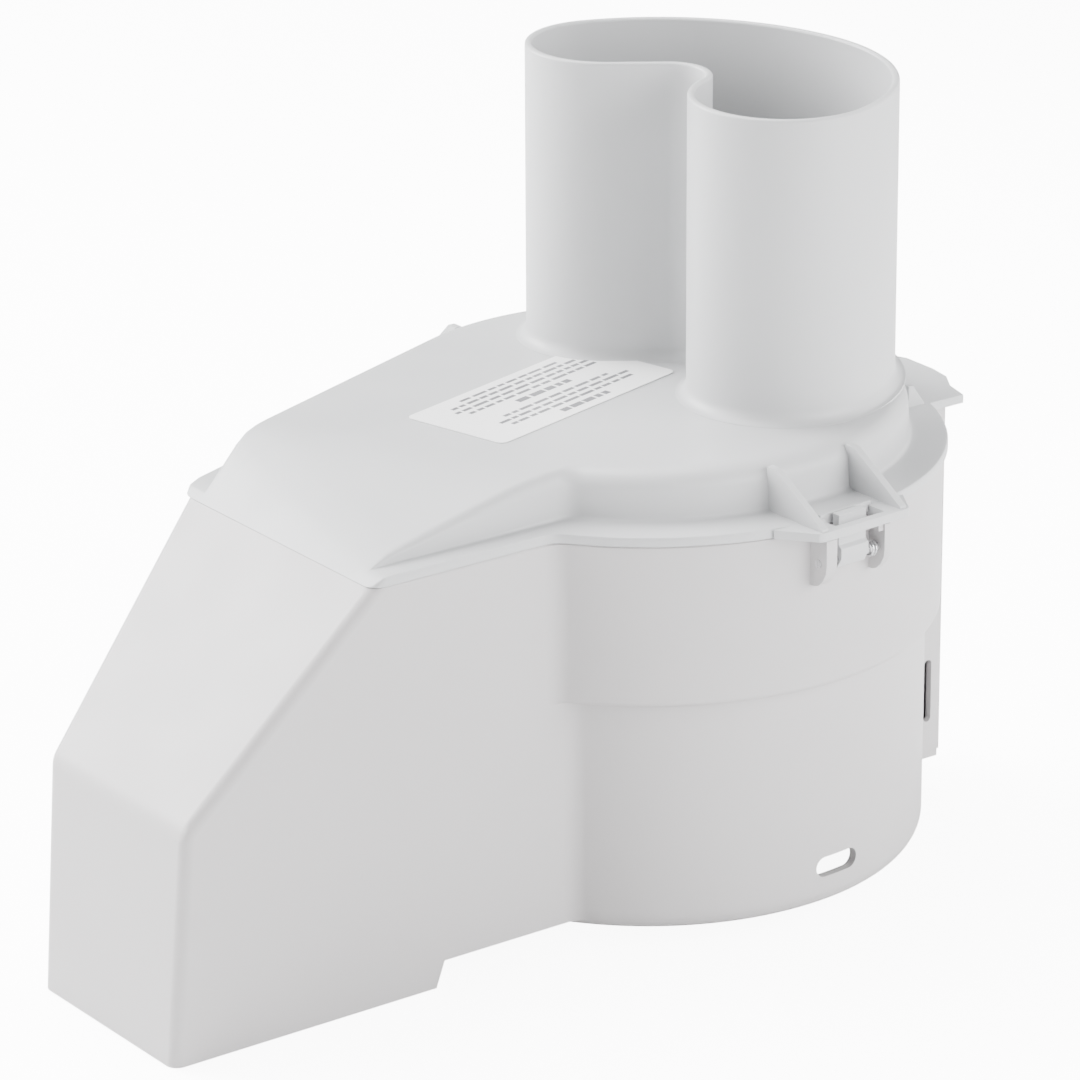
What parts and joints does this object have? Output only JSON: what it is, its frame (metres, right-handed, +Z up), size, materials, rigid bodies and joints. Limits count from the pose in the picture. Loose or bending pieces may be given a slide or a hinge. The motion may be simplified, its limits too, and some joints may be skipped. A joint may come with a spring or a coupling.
{
  "type": "food processor feed head",
  "caption": "Drum housing with a slanted discharge chute and a hinged lid carrying a kidney-shaped feed hopper, for slicing vegetables on a motor base",
  "frame": {"origin": "bottom centre of the whole object's bounding box", "axes": "+Z up; +X from the discharge chute towards the drum's interlock column; +Y towards the rear latch"},
  "size_m": [0.3464, 0.2218, 0.2653],
  "materials": {
    "housing_plastic": "warm light grey satin moulded plastic",
    "lid_plastic": "cool light grey satin moulded plastic",
    "label_film": null,
    "disc_plastic": "off-white moulded plastic",
    "steel": "stainless steel",
    "bronze": "sintered bearing bronze",
    "magnet": "dark coated magnet",
    "seal_rubber": "black food-grade rubber"
  },
  "bodies": {
    "housing": {"base_housing": "housing_plastic", "shaft_bush": "bronze", "shaft_seal": "seal_rubber", "latch_pin_front": "steel", "latch_pin_rear": "steel", "latch_spring_front": "steel", "latch_spring_rear": "steel", "column_cap": "housing_plastic", "cap_screw_1": "steel", "cap_screw_2": "steel"},
    "lid": {"lid_cover": "lid_plastic", "feed_hopper": "lid_plastic", "lid_label": "label_film", "pilot_bush": "bronze"},
    "drive": {"drive_stem": "steel", "drive_pin": "steel", "discharge_plate": "disc_plastic", "disc_hub": "disc_plastic", "cutting_disc": "steel", "slicing_blade": "steel", "blade_screw_1": "steel", "blade_screw_2": "steel", "blade_screw_3": "steel"},
    "latch_front": {"latch_lever_front": "lid_plastic"},
    "latch_rear": {"latch_lever_rear": "lid_plastic"},
    "interlock": {"interlock_rod": "steel", "rod_magnet": "magnet", "rod_clip": "steel", "interlock_spring": "steel"}
  },
  "joints": [
    {"name": "lid_hinge", "type": "hinge", "parent": "housing", "child": "lid", "pos_m": [-0.0948, 0, 0.14265], "axis": [0, -1, 0], "range_deg": [0, 70]},
    {"name": "disc_spin", "type": "hinge", "parent": "housing", "child": "drive", "pos_m": [0.0562, 0, 0.0953], "axis": [0, 0, 1], "continuous": true},
    {"name": "latch_front_turn", "type": "hinge", "parent": "housing", "child": "latch_front", "pos_m": [0.06151, -0.10136, 0.1323], "axis": [0.9986, 0.0523, 0], "range_deg": [0, 9], "stiffness_Nm_per_rad": 0.1, "springref_deg": -5.73},
    {"name": "latch_rear_turn", "type": "hinge", "parent": "housing", "child": "latch_rear", "pos_m": [0.06151, 0.10136, 0.1323], "axis": [-0.9986, 0.0523, 0], "range_deg": [0, 9], "stiffness_Nm_per_rad": 0.1, "springref_deg": -5.73},
    {"name": "interlock_slide", "type": "slide", "parent": "housing", "child": "interlock", "axis": [0, 0, 1], "range_m": [0, 0.005], "deforming": ["interlock_spring"]}
  ],
  "couplings": [
    {"joint": "interlock_slide", "follows": "lid_hinge", "m_per_rad": 0.004011}
  ]
}
